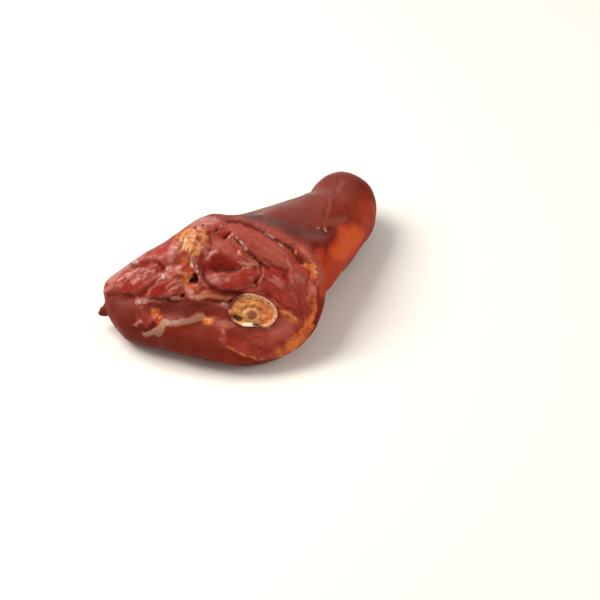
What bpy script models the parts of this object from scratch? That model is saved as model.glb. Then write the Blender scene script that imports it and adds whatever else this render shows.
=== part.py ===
"""Smoked pork knuckle, cut obliquely through the leg: rounded meat masses under rind, a cut face with
muscle bundles and creases, and the leg bone with its marrow, which show in the cut and run down the shank.

Metres, +Z up. The knuckle lies on its flat underside at z = 0, with +X along its length from the cut end
towards the foot end. The origin is on the underside, below the thick end.
"""

import math

import bmesh
import bpy
import numpy as np
from mathutils import Matrix, Vector

MM = 0.001

# The cut face looks out along -Y, turned by CUT_YAW towards -X and tilted up by CUT_PITCH.
CUT_YAW = math.radians(34)
CUT_PITCH = math.radians(50.6)
# Its relief is laid out along a line of sight that is a little flatter than the cut's own normal.
SIGHT_PITCH = math.radians(43)

# The body is stretched over five masses, in mm: centre, then half sizes across the cut, up it and out of it.
THICK_END = ((1.6, -10.0, 42.5), (61.0, 60.5, 46))
SHOULDER = ((-10.5, 28.0, 62.5), (25, 25, 21))
SIDE_TIP = ((-67.6, 35.5, 28.0), (28.5, 28, 26))
SIDE_POINT = ((-80.0, 51.1, 37.2), (11, 11, 11))
SIDE_HEEL = ((-76.5, 28.8, 16.0), (16, 16, 16))
# Behind the cut the flare tapers from the side and the shoulder down to the shank's middle.
FLARE = (
    ((-62.0, 40.0, 27.0), (24, 24, 24)),
    ((-6.0, 33.0, 58.0), (22, 22, 20)),
    ((62.0, 13.0, 37.5), (37, 37, 37)),
)
# The shank is stretched over two balls, and the foot end is a third: centre and radius, in mm.
SHANK_TOP = ((31.0, 1.0, 41.5), 46.4)
SHANK_FOOT = ((121.0, 31.0, 28.5), 27.0)
FOOT_BALL = ((129.4, 43.0, 28.2), 28.2)
# A ragged tag of meat behind the side tip, stretched over three balls: centre and half sizes.
SIDE_TAG = (
    ((-88.2, 53.8, 19.4), (3.8, 2.8, 6.0)),
    ((-94.3, 55.7, 16.0), (1.9, 1.7, 2.6)),
    ((-91.2, 52.9, 15.0), (2.4, 2.0, 3.0)),
)
# The cut itself is a wide shallow dome.
DOME_APEX = (-24.0, -9.9, 61.4)
DOME_RADIUS = 190

BODY_VOXEL = 2.0
FIRST_PASSES = 1
BLEND_PASSES = 16
RELIEF_PASSES = 5
MEAT_TRIANGLES = 9900
FLAT_BELOW = 0.6
# The rind's swells: heights, and the height above the board from which they are full.
LONG_SWELL = 0.9
SHORT_SWELL = 0.35
SWELL_FROM = 9.0

# The bone and the marrow in it run from the cut to the foot ball. Places and sizes in mm.
BONE_AIM = (-10.5, -36.6, 45.5)
BONE_END = (124.0, 37.0, 30.0)
MARROW_END = (104.0, 27.0, 32.0)
BONE_PROUD = 1.8
BONE_SIDES = 32
STRAIGHT_IN = 4.5
BONE_HALF = (16.8, 13.6)
# How its outline departs from an oval: waves round it, their share of the radius, and their turn.
BONE_WAVES = ((2, 0.124, 0.51), (3, 0.043, 1.24))
BONE_BOWL = 1.6
# The raised ring round the marrow, and a pit beside it: (across, up) from the middle of the bone, then size.
RING_AT = (-0.8, -3.3)
RING_HALF = (5.1, 3.9)
MARROW_HALF = (3.0, 2.4)
MARROW_SUNK = 0.6
PIT_AT = (-12.6, -5.6)
# Share of the way down the bone, and its radius there.
BONE_SHAFT = (
    (0.10, 13.0), (0.22, 10.5), (0.45, 9.2), (0.70, 9.2), (0.86, 11.5), (0.96, 12.0), (1.0, 9.0),
)
MARROW_SHAFT = ((0.12, 3.6), (0.22, 4.0), (0.5, 4.2), (0.8, 4.0), (1.0, 3.0))
# A piece keeps the shape of its cut end straight in for STRAIGHT_IN, and is round after this share of the way.
TURN_SHARE = 0.22
# Past its last ring a piece is closed by a smaller one: how far on it lies, and how much smaller it is.
TIP_REACH = 3.0
TIP_SHRINK = 0.45
GAP = 0.35
CUTTER_REACH = 14
# The marrow's ring and the pit in the bone's cut end: height, then half width; the pit is longer across.
RING_RISE = (1.6, 1.5)
PIT_DEPTH = (2.6, 2.8)
PIT_STRETCH = 1.4
# The bone's bowl starts inside its rim, at this share of the way out, and is full a little further in.
RIM_INSIDE = 0.95
BOWL_SLOPE = 0.14
CAP_SHARES = (0.12, 0.24, 0.36, 0.48, 0.6, 0.72, 0.8, 0.88, 0.95)

RIND_COLOUR = (0.30, 0.055, 0.028)
BONE_COLOUR = (0.72, 0.50, 0.27)
MARROW_COLOUR = (0.24, 0.10, 0.035)


def direction(yaw, pitch):
    """Unit vector that looks out of the cut side, tilted up by pitch."""
    level = math.cos(pitch)
    return np.array([-math.sin(yaw) * level, -math.cos(yaw) * level, math.sin(pitch)])


ACROSS = np.array([math.cos(CUT_YAW), -math.sin(CUT_YAW), 0.0])
OUT = direction(CUT_YAW, CUT_PITCH)
UP_FACE = np.cross(OUT, ACROSS)
SIGHT = direction(CUT_YAW, SIGHT_PITCH)
UP_SIGHT = np.cross(SIGHT, ACROSS)
DOME_CENTRE = np.array(DOME_APEX) - OUT * DOME_RADIUS

# The bone is cut flush with the dome, so its end looks out along the dome's own normal there.
BONE_OUT = (np.array(BONE_AIM) - DOME_CENTRE) / np.linalg.norm(np.array(BONE_AIM) - DOME_CENTRE)
BONE_AT = DOME_CENTRE + BONE_OUT * DOME_RADIUS
BONE_ACROSS = np.cross(UP_FACE, BONE_OUT) / np.linalg.norm(np.cross(UP_FACE, BONE_OUT))
BONE_UP = np.cross(BONE_OUT, BONE_ACROSS)

# Relief on the cut and on the shank beside it. Places are (across, up) in mm from this point near the bone,
# along the sight line.
RELIEF_AT = (-12.1, -36.7, 44.8)
# Muscle bundles: place, half length, half width, slope in degrees, height.
BUNDLES = {
    "under_rim": ((4, 52), 36, 12, -31, 3.6),
    "top_edge": ((-32, 66), 17, 9, 14, 3.4),
    "top_inner": ((-17, 47), 14, 10, -38, 3.0),
    "tongue": ((-17, 22.5), 20, 8.5, 10, 4.2),
    "hollow_edge": ((-36, 38), 9, 4.5, 40, 3.4),
    "right_upper": ((15, 24), 12, 10, -20, 2.4),
    "right_outer": ((36, 26), 13, 10, -62, 2.8),
    "right_curl": ((43, 12), 11, 5, 66, 1.8),
    "right_middle": ((26, 6), 13, 8, -32, 2.2),
    "under_bone": ((8, -24), 27, 12, 12, 2.6),
    "tip_upper": ((-88, 33), 24, 8, 34, 3.0),
    "tip_inner": ((-86, 22), 20, 8, 14, 3.0),
    "left_upper": ((-68, 44), 22, 9, 31, 3.2),
    "left_middle": ((-62, 26), 15, 9, 12, 3.0),
    "left_nub": ((-86, 7), 8, 4.5, 8, 2.6),
    "fat_lump": ((-46, 50), 11, 12, 60, 3.0),
    "ridge": ((-31, 10), 13, 4, 0, 2.6),
    "left_front": ((-88, -8), 20, 16, -30, 2.4),
    "rind_front": ((-48, -28), 46, 14, -12, 2.6),
    "shank_low": ((68, 47), 26, 15, 66, 1.8),
}
# Creases: the points they pass through, half width, depth.
CREASES = {
    "rind_edge": (((-31, 74), (-18, 70.5), (6, 62), (19, 54), (30, 48), (33, 41), (41, 35)), 2.4, 2.6),
    "inner": (((-23, 56), (-12, 52), (-2, 42), (4.5, 34.5)), 2.3, 2.4),
    "inner_right": (((4.5, 34.5), (12, 34.5), (19, 33), (23, 28)), 2.3, 2.0),
    "inner_down": (((4.5, 34.5), (5, 25), (0, 20)), 2.3, 2.0),
    "over_bone": (((-46, 21), (-38, 15), (-24, 11), (-12, 11)), 2.6, 2.4),
    "left_top": (((-90, 36), (-82, 37), (-73, 35), (-69, 32)), 2.4, 2.4),
    "left_low": (((-113, 12), (-93, 10), (-62, 8)), 2.4, 2.0),
    "behind_roll": (((8, 71.5), (29, 60.5), (41, 54), (51, 44), (57, 30), (58, 15)), 4.2, 3.4),
    "pinch": (((49, 62.5), (58, 62.5)), 2.5, 2.2),
    "pinch_left": (((33, 59.5), (49, 62)), 3.2, 1.2),
    "pinch_right": (((58, 63), (69, 68)), 2.6, 1.1),
}
# Hollows: place, half length, half width, slope in degrees, depth.
HOLLOWS = {
    "mouth": ((-25, 34.5), 15, 6.5, -10, 5.5),
    "vein": ((-47.4, 26), 4.2, 4.0, 0, 5.0),
    "small_vein": ((-56, 11), 3.6, 3.2, 0, 2.4),
    "left_of_bone": ((-34, -3), 15, 8, 0, 3.2),
    "over_rind_edge": ((-66, 1), 18, 6, 12, 3.2),
}
# Swells and dents anywhere on the knuckle: centre in space, radius, height.
SWELLS = {
    "cut_corner": ((3, 41, 80), 10, 1.8),
    "upper_edge": ((-36, 52, 64), 14, -1.5),
    "saddle": ((28, 33, 79), 15, -5.5),
    "knob_top": ((133, 60, 46), 14, 1.2),
    "knob_neck": ((110, 60, 43), 9, 0.6),
    "neck_fill": ((98, 45, 55), 8, 1.1),
    "back_hollow": ((62, 52, 40), 22, -2.6),
    "back_tendon": ((92, 56, 26), 14, 1.8),
    "heel_dent": ((-40, 60, 30), 20, -2.0),
    "side_muscle": ((-66, 62, 24), 18, 1.6),
    "flank_hollow": ((62, -34, 18), 12, -1.4),
}
# How steeply a hollow's side falls, and the share of the bone's size over which the relief fades in.
HOLLOW_STEEPNESS = 2.5
BONE_MARGIN = 0.35
# Raised seams: the points they pass through, half width, height.
SEAMS = {
    "rind_roll": (
        ((-8, 72), (6, 66), (24, 57.5), (37, 50), (46, 40), (50, 27), (51, 8), (48, -8), (41, -21),
         (29, -32)),
        4.2, 3.4),
    "over_pinch": (((59, 88), (56, 78), (54, 66)), 2.8, 1.3),
    "rind_lip": (((-86, -20), (-74, -14), (-62, -10), (-54, -8), (-43, -4)), 2.6, 1.6),
}


def clear_scene():
    for thing in list(bpy.data.objects):
        bpy.data.objects.remove(thing, do_unlink=True)


def collection(name):
    made = bpy.data.collections.new(name)
    bpy.context.scene.collection.children.link(made)
    return made


def material(name, colour, roughness):
    made = bpy.data.materials.new(name)
    made.use_nodes = True
    shader = made.node_tree.nodes["Principled BSDF"]
    shader.inputs["Base Color"].default_value = (*colour, 1.0)
    shader.inputs["Roughness"].default_value = roughness
    shader.inputs["Metallic"].default_value = 0.0
    return made


def put_in(obj, group, finish):
    for owner in list(obj.users_collection):
        owner.objects.unlink(obj)
    group.objects.link(obj)
    obj.data.materials.clear()
    obj.data.materials.append(finish)
    obj.data.shade_smooth()


def apply_modifier(obj, kind, **settings):
    bpy.ops.object.select_all(action="DESELECT")
    obj.select_set(True)
    bpy.context.view_layer.objects.active = obj
    modifier = obj.modifiers.new(kind.title(), kind)
    for key, value in settings.items():
        setattr(modifier, key, value)
    bpy.ops.object.modifier_apply(modifier=modifier.name)


def points_of(obj):
    """The object's points, in mm."""
    flat = np.empty(len(obj.data.vertices) * 3, np.float32)
    obj.data.vertices.foreach_get("co", flat)
    return flat.reshape(-1, 3).astype(float) / MM


def normals_of(obj):
    flat = np.empty(len(obj.data.vertices) * 3, np.float32)
    obj.data.vertices.foreach_get("normal", flat)
    return flat.reshape(-1, 3).astype(float)


def set_points(obj, points):
    obj.data.vertices.foreach_set("co", (points * MM).astype(np.float32).ravel())
    obj.data.update()


def ball(centre, half):
    """A ball stretched along the cut's own three axes."""
    axes = Matrix([[*a, 0.0] for a in (ACROSS, UP_FACE, OUT)] + [[0.0, 0.0, 0.0, 1.0]]).transposed()
    bpy.ops.mesh.primitive_uv_sphere_add(segments=48, ring_count=24, radius=MM)
    made = bpy.context.object
    made.data.transform(Matrix.Translation(Vector(centre) * MM) @ axes @ Matrix.Diagonal((*half, 1.0)))
    return made


def join(pieces, name):
    bpy.ops.object.select_all(action="DESELECT")
    for piece in pieces:
        piece.select_set(True)
    bpy.context.view_layer.objects.active = pieces[0]
    bpy.ops.object.join()
    pieces[0].name = name
    pieces[0].data.name = name
    return pieces[0]


def stretched_over(balls, name):
    """The skin that a sheet pulled tight over all the balls would take."""
    obj = join(balls, name)
    mesh = bmesh.new()
    mesh.from_mesh(obj.data)
    hull = bmesh.ops.convex_hull(mesh, input=mesh.verts)
    inside = [item for item in hull["geom_interior"] if isinstance(item, bmesh.types.BMVert)]
    bmesh.ops.delete(mesh, geom=inside, context="VERTS")
    bmesh.ops.recalc_face_normals(mesh, faces=mesh.faces)
    mesh.to_mesh(obj.data)
    mesh.free()
    return obj


def press_into_shape(obj):
    """Flattens what stands out of the cut's dome, and what would go below the board."""
    p = points_of(obj)
    away = p - DOME_CENTRE
    far = np.linalg.norm(away, axis=1)
    outside = far > DOME_RADIUS
    p[outside] = DOME_CENTRE + away[outside] * (DOME_RADIUS / far[outside])[:, None]
    p[:, 2] = np.maximum(p[:, 2], 0.0)
    set_points(obj, p)


def even_out(obj, passes):
    """One even skin over everything, with its inner corners rounded."""
    apply_modifier(obj, "REMESH", mode="VOXEL", voxel_size=BODY_VOXEL * MM)
    apply_modifier(obj, "SMOOTH", factor=0.5, iterations=passes)


def face_places(points):
    """Where each point lies, (across, up) in mm from RELIEF_AT, along the sight line."""
    off = points - RELIEF_AT
    return np.stack([off @ ACROSS, off @ UP_SIGHT], 1)


def oval_distance(places, centre, half_length, half_width, slope):
    """0 in the middle of a sloping oval and 1 on its outline."""
    turn = math.radians(slope)
    off = places - np.array(centre)
    along = off[:, 0] * math.cos(turn) + off[:, 1] * math.sin(turn)
    aside = off[:, 1] * math.cos(turn) - off[:, 0] * math.sin(turn)
    return np.sqrt((along / half_length) ** 2 + (aside / half_width) ** 2)


def path_distance(places, path):
    """Distance in mm to a line through the path's points."""
    nearest = np.full(len(places), 1e9)
    for start, end in zip(path[:-1], path[1:]):
        a, run = np.array(start, float), np.array(end, float) - np.array(start, float)
        share = np.clip(((places - a) @ run) / (run @ run), 0, 1)
        nearest = np.minimum(nearest, np.linalg.norm(places - a - share[:, None] * run, axis=1))
    return nearest


def relief(places):
    """Height in mm of the cut's bundles, creases, hollows and seams."""
    height = np.zeros(len(places))
    for centre, half_length, half_width, slope, top in BUNDLES.values():
        oval = oval_distance(places, centre, half_length, half_width, slope)
        height = np.maximum(height, top * np.sqrt(np.clip(1 - oval**2, 0, 1)))
    for path, half_width, top in SEAMS.values():
        height += top * np.exp(-((path_distance(places, path) / half_width) ** 2))
    for path, half_width, depth in CREASES.values():
        height -= depth * np.exp(-((path_distance(places, path) / half_width) ** 2))
    for centre, half_length, half_width, slope, depth in HOLLOWS.values():
        oval = oval_distance(places, centre, half_length, half_width, slope)
        height -= depth * np.exp(-(oval**HOLLOW_STEEPNESS))
    from_bone = oval_distance(places, face_places(BONE_AT[None])[0], *BONE_HALF, 0)
    return height * np.clip((from_bone - 1.0) / BONE_MARGIN, 0, 1)


def rind_swell(points):
    """Height in mm of the rind's slow swells, which run round the leg and end above the board."""
    x, y, z = points.T
    long_swell = np.sin(x / 13.0 + y / 21.0 + 0.6) * np.sin(y / 12.0 - z / 15.0 + x / 40.0)
    short_swell = np.sin(x / 6.5 - z / 9.0) * np.sin(y / 7.0 + z / 8.0 + 1.3)
    return (LONG_SWELL * long_swell + SHORT_SWELL * short_swell) * np.clip(z / SWELL_FROM, 0, 1)


def swells(points):
    """Height in mm of the named swells and dents, which lie anywhere on the knuckle."""
    height = np.zeros(len(points))
    for centre, radius, top in SWELLS.values():
        height += top * np.exp(-((np.linalg.norm(points - centre, axis=1) / radius) ** 2))
    return height * np.clip(points[:, 2] / SWELL_FROM, 0, 1)


def carve_relief(obj):
    """Moves points in or out: by the cut's relief where the sight line reaches, and by the rind's swells."""
    p, n = points_of(obj), normals_of(obj)
    facing = np.clip((n @ SIGHT - 0.05) / 0.5, 0, 1)
    p += n * (relief(face_places(p)) * facing + rind_swell(p) + swells(p))[:, None]
    p[:, 2] = np.maximum(p[:, 2], 0.0)
    set_points(obj, p)


def flatten_underside(obj):
    p = points_of(obj)
    p[p[:, 2] < FLAT_BELOW, 2] = 0.0
    set_points(obj, p)


def oval_radius(angle, half):
    return 1 / math.hypot(math.cos(angle) / half[0], math.sin(angle) / half[1])


def bone_outline(angle):
    """Radius in mm of the bone where it is cut: an oval, drawn out down to one side and up to the other."""
    waves = sum(share * math.cos(count * angle + turn) for count, share, turn in BONE_WAVES)
    return oval_radius(angle, BONE_HALF) * (1 + waves)


def marrow_outline(angle):
    return oval_radius(angle, MARROW_HALF)


def on_bone(across, up, out):
    """A point measured from the middle of the bone's cut end, along its own axes."""
    return BONE_AT + BONE_ACROSS * across + BONE_UP * up + BONE_OUT * (BONE_PROUD + out)


def on_face(radius, angle):
    """The way from the middle of the bone's cut end to a point of it."""
    return BONE_ACROSS * (radius * math.cos(angle)) + BONE_UP * (radius * math.sin(angle))


def shaft_rings(start, end, outline, shaft, grow):
    """Rings of points from the cut straight in, then to the foot, where the section turns round."""
    run = np.array(end) - start
    axis = run / np.linalg.norm(run)
    side = np.cross(axis, [0.0, 0.0, 1.0])
    side /= np.linalg.norm(side)
    over = np.cross(side, axis)
    angles = [2 * math.pi * i / BONE_SIDES for i in range(BONE_SIDES)]
    face = [on_face(outline(angle) + grow, angle) for angle in angles]
    rings = [[start + point - BONE_OUT * depth for point in face] for depth in (0, STRAIGHT_IN)]
    for share, radius in shaft:
        blend = min(1.0, share / TURN_SHARE)
        ring = []
        for angle, cut in zip(angles, face):
            wide = radius + grow
            down = side * (wide * math.cos(angle)) + over * (wide * math.sin(angle))
            ring.append(start + run * share + cut * (1 - blend) + down * blend)
        rings.append(ring)
    middle, reach = start + run, axis * (TIP_REACH + grow)
    rings.append([point + reach - (point - middle) * TIP_SHRINK for point in rings[-1]])
    return rings


def bone_end_height(across, up):
    """Height in mm of the bone's cut end over its rim: a shallow bowl, the marrow's ring and a pit."""
    reach = math.hypot(across, up) / bone_outline(math.atan2(up, across))
    bowl = -BONE_BOWL * min(1.0, max(0.0, (RIM_INSIDE - reach) / BOWL_SLOPE))
    ring_share = math.hypot((across - RING_AT[0]) / RING_HALF[0], (up - RING_AT[1]) / RING_HALF[1])
    from_ring = (ring_share - 1) * RING_HALF[1]
    from_pit = math.hypot((across - PIT_AT[0]) / PIT_STRETCH, up - PIT_AT[1])
    ring = RING_RISE[0] * math.exp(-((from_ring / RING_RISE[1]) ** 2))
    return bowl + ring - PIT_DEPTH[0] * math.exp(-((from_pit / PIT_DEPTH[1]) ** 2))


def loft(name, rings):
    """A closed solid through rings of points, with a flat cap at each end."""
    mesh = bmesh.new()
    made = [[mesh.verts.new(Vector(point) * MM) for point in ring] for ring in rings]
    count = len(rings[0])
    for lower, upper in zip(made[:-1], made[1:]):
        for i in range(count):
            j = (i + 1) % count
            mesh.faces.new((lower[i], lower[j], upper[j], upper[i]))
    mesh.faces.new(reversed(made[0]))
    mesh.faces.new(made[-1])
    bmesh.ops.triangulate(mesh, faces=mesh.faces)
    bmesh.ops.recalc_face_normals(mesh, faces=mesh.faces)
    data = bpy.data.meshes.new(name)
    mesh.to_mesh(data)
    mesh.free()
    obj = bpy.data.objects.new(name, data)
    bpy.context.scene.collection.objects.link(obj)
    return obj


def channel(start, end, outline, shaft):
    """The cutter for a piece's place: the piece grown by the gap, and drawn out past the cut."""
    rings = shaft_rings(start, end, outline, shaft, GAP)
    return loft("channel", [[point + BONE_OUT * CUTTER_REACH for point in rings[0]], *rings])


def subtract(obj, cutter):
    apply_modifier(obj, "BOOLEAN", operation="DIFFERENCE", object=cutter, solver="EXACT")
    bpy.data.objects.remove(cutter, do_unlink=True)


BONE_START = on_bone(0, 0, 0)
MARROW_START = on_bone(*RING_AT, -MARROW_SUNK)


def make_bone():
    rings = shaft_rings(BONE_START, BONE_END, bone_outline, BONE_SHAFT, 0)
    cap = []
    for share in CAP_SHARES:
        ring = []
        for i in range(BONE_SIDES):
            angle = 2 * math.pi * i / BONE_SIDES
            reach = bone_outline(angle) * share
            across, up = reach * math.cos(angle), reach * math.sin(angle)
            ring.append(on_bone(across, up, bone_end_height(across, up)))
        cap.append(ring)
    bone = loft("leg_bone", cap + rings)
    subtract(bone, channel(MARROW_START, MARROW_END, marrow_outline, MARROW_SHAFT))
    return bone


def make_marrow():
    return loft("bone_marrow", shaft_rings(MARROW_START, MARROW_END, marrow_outline, MARROW_SHAFT, 0))


def make_meat():
    masses = (THICK_END, SHOULDER, SIDE_TIP, SIDE_POINT, SIDE_HEEL)
    body = stretched_over([ball(*mass) for mass in masses], "body")
    shank_balls = [ball(centre, [radius] * 3) for centre, radius in (SHANK_TOP, SHANK_FOOT)]
    shank = stretched_over(shank_balls, "shank")
    foot_centre, foot_radius = FOOT_BALL
    flare = stretched_over([ball(*mass) for mass in FLARE], "flare")
    meat = join([body, flare, shank, ball(foot_centre, [foot_radius] * 3)], "knuckle_meat")
    even_out(meat, FIRST_PASSES)
    press_into_shape(meat)
    even_out(meat, BLEND_PASSES)
    tag = stretched_over([ball(*mass) for mass in SIDE_TAG], "tag")
    meat = join([meat, tag], "knuckle_meat")
    carve_relief(meat)
    even_out(meat, RELIEF_PASSES)
    apply_modifier(meat, "DECIMATE", ratio=MEAT_TRIANGLES / (len(meat.data.polygons) * 2))
    flatten_underside(meat)
    subtract(meat, channel(BONE_START, BONE_END, bone_outline, BONE_SHAFT))
    return meat


def main():
    clear_scene()
    group = collection("smoked_pork_knuckle")
    put_in(make_meat(), group, material("rind", RIND_COLOUR, 0.45))
    put_in(make_bone(), group, material("bone", BONE_COLOUR, 0.6))
    put_in(make_marrow(), group, material("marrow", MARROW_COLOUR, 0.5))


main()
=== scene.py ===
"""Looks of the smoked pork knuckle: cured meat, fat and rind, the sawn end of the bone and its marrow.

Metres, +Z up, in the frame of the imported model, which stays as it is. Each piece starts from its solid's
own mesh, gets a finer skin, then fine relief and painted zones, which its material turns into colour, gloss
and grain. Sizes are in mm, where nothing else is said. Places are (x, y) in a square picture of 600 points,
taken from VIEW_YAW and VIEW_PITCH; at the cut POINTS_PER_MM of its points are a millimetre. A stroke is the
places it passes through, half its width in mm and its strength.
"""

import math

import bpy
import numpy as np
from mathutils import Matrix, Vector


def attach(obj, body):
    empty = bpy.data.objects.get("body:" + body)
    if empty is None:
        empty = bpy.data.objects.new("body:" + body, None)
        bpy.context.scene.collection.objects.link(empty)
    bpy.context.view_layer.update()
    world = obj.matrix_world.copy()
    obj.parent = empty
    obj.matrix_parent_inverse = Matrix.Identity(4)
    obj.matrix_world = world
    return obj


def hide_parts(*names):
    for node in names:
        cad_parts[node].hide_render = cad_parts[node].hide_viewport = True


MM = 0.001

# The picture: where it looks from, what is in its middle, and how far off it stands.
VIEW_YAW = math.radians(-34)
VIEW_PITCH = math.radians(43)
VIEW_MIDDLE = (53.8, -6.1, 0.0)
VIEW_DISTANCE = 1920
PICTURE_SIZE = 600
PICTURE_LENS = 144
PICTURE_SENSOR = 36
POINTS_PER_MM = 1.3

# Which way the viewer is, and which way the picture's right and top are.
BACK = np.array(
    [
        math.sin(VIEW_YAW) * math.cos(VIEW_PITCH),
        -math.cos(VIEW_YAW) * math.cos(VIEW_PITCH),
        math.sin(VIEW_PITCH),
    ]
)
RIGHT = np.array([math.cos(VIEW_YAW), math.sin(VIEW_YAW), 0.0])
UP = np.cross(BACK, RIGHT)
EYE = np.array(VIEW_MIDDLE) + BACK * VIEW_DISTANCE

# Each piece's skin: the size of its cells, and how many times it is smoothed, each time by this factor.
MEAT_SKIN = (1.09, 4)
BONE_SKIN = (0.55, 3)
MARROW_SKIN = (0.45, 2)
SMOOTH_FACTOR = 0.5
# Points of a solid's mesh that lie this close are one.
WELD_DISTANCE = 0.01
# After how many cells noise repeats itself.
NOISE_CELLS = 32
# Where a stroke fades out and where it is at full strength, in its half widths.
STROKE_OUTER = 1.6
STROKE_INNER = 0.2

# Creases in the cut and the rind: the places they pass through, half width, depth.
CREASES = {
    "rim": (
        ((207, 214), (214, 214.5), (227, 220.5), (240, 222.5), (250, 226), (261, 229.5), (268, 235.5),
         (275, 240), (285, 245), (291, 250), (297, 258), (304, 262.5)), 1.1, 2.2),
    "inner": (((236, 240), (242, 245.5), (247.5, 252.5), (254, 260), (260, 265)), 1.0, 1.6),
    "inner_right": (((260, 266), (270, 267), (280, 267.5), (285, 270), (284, 276)), 1.0, 0.9),
    "inner_down": (((260, 266), (260.5, 275), (255, 282), (256, 287)), 1.1, 1.6),
    "mouth": (((214, 271), (222, 270.5), (234, 271.5), (241, 269.5)), 1.2, 1.8),
    "under_tongue": (((205, 266), (206, 279), (212, 287), (224, 292.5), (240, 293)), 1.8, 1.4),
    "slit": (((224.5, 238), (230.5, 234)), 1.2, 2.2),
    "left_top": (((133, 265), (141, 265.5), (147, 262), (150, 260.5), (157, 264), (163, 268.5)), 1.7, 2.6),
    "left_middle": (((102, 297), (112, 295.5), (124, 295), (134, 297), (147, 296)), 1.9, 1.1),
    "left_edge": (((117, 279), (128, 272), (137, 267)), 0.9, 0.8),
    "left_strand": (((147, 291), (155, 284), (165, 280)), 1.0, 0.8),
    "over_bone": (((205, 302), (217, 301.5), (229, 302), (237, 299)), 1.5, 1.4),
    "fat_edge": (((207, 234), (210, 246), (207, 258), (201, 266), (199, 276)), 1.4, 1.0),
    "right_curl": (((296, 268), (302, 275), (300, 285), (294, 292)), 1.0, 0.6),
    "right_side": (((309, 275), (306, 286), (308, 297)), 1.0, 0.5),
    "right_fold": (((284, 277), (290, 284), (299, 296), (302, 308)), 1.0, 0.6),
    "recess_top": (((153, 300), (170, 301), (187, 302)), 1.6, 1.0),
    "under_nub": (((137, 306), (147, 307.5), (153, 303)), 0.9, 0.8),
    "over_strip": (((132, 327), (143, 330), (151, 330), (156, 325)), 1.3, 1.3),
    "lobe_fold": (((163, 268), (160, 278), (152, 285), (145, 293)), 1.6, 0.7),
    "lobe_ray": (((170, 262), (176, 273), (181, 283)), 1.2, 0.5),
    "right_of_bone": (((266, 296), (277, 302), (288, 310), (297, 316)), 1.3, 0.9),
    "pinch": (((317, 229.5), (324, 230.5), (331, 228)), 1.0, 0.8),
    "knob_arc": (((346, 174), (357, 179), (366, 188)), 1.2, 0.3),
    "knob_fold": (((337, 180), (334, 190), (338, 200)), 1.4, 0.4),
}
# Strokes where the cut is smooth.
SMOOTH_STROKES = (
    (((234, 342), (256, 343), (276, 336), (288, 324)), 11.0, 0.85),
    (((240, 230), (256, 238), (272, 248)), 8.0, 0.5),
    (((112, 304), (120, 322), (134, 338)), 12.0, 0.8),
    (((286, 272), (298, 288), (300, 306)), 9.0, 0.45),
)
# Strokes where the tag of meat past the left tip is ragged, and how far its lumps stand out.
TAG_STROKES = ((((95, 313), (105, 309)), 6.0, 1.0),)
TAG_LUMPS = 0.8
# Holes: the place, radius, depth.
HOLES = {
    "vein": ((194.6, 280.6), 2.3, 4.0),
    "vein_top": ((193.9, 276), 1.3, 2.2),
    "vein_side": ((191, 282), 1.1, 1.4),
    "small_vein": ((182.6, 296), 1.4, 2.2),
    "small_vein_side": ((184.4, 294.2), 0.8, 1.2),
    "dot_left": ((195, 228), 1.0, 0.9),
    "dot_middle": ((202.5, 225.8), 0.8, 0.8),
    "dot_right": ((215.6, 231), 1.0, 0.9),
    "nub_dot": ((143.1, 302.3), 0.7, 0.8),
    "pinch_dot": ((330, 227.6), 0.9, 1.0),
}
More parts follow.
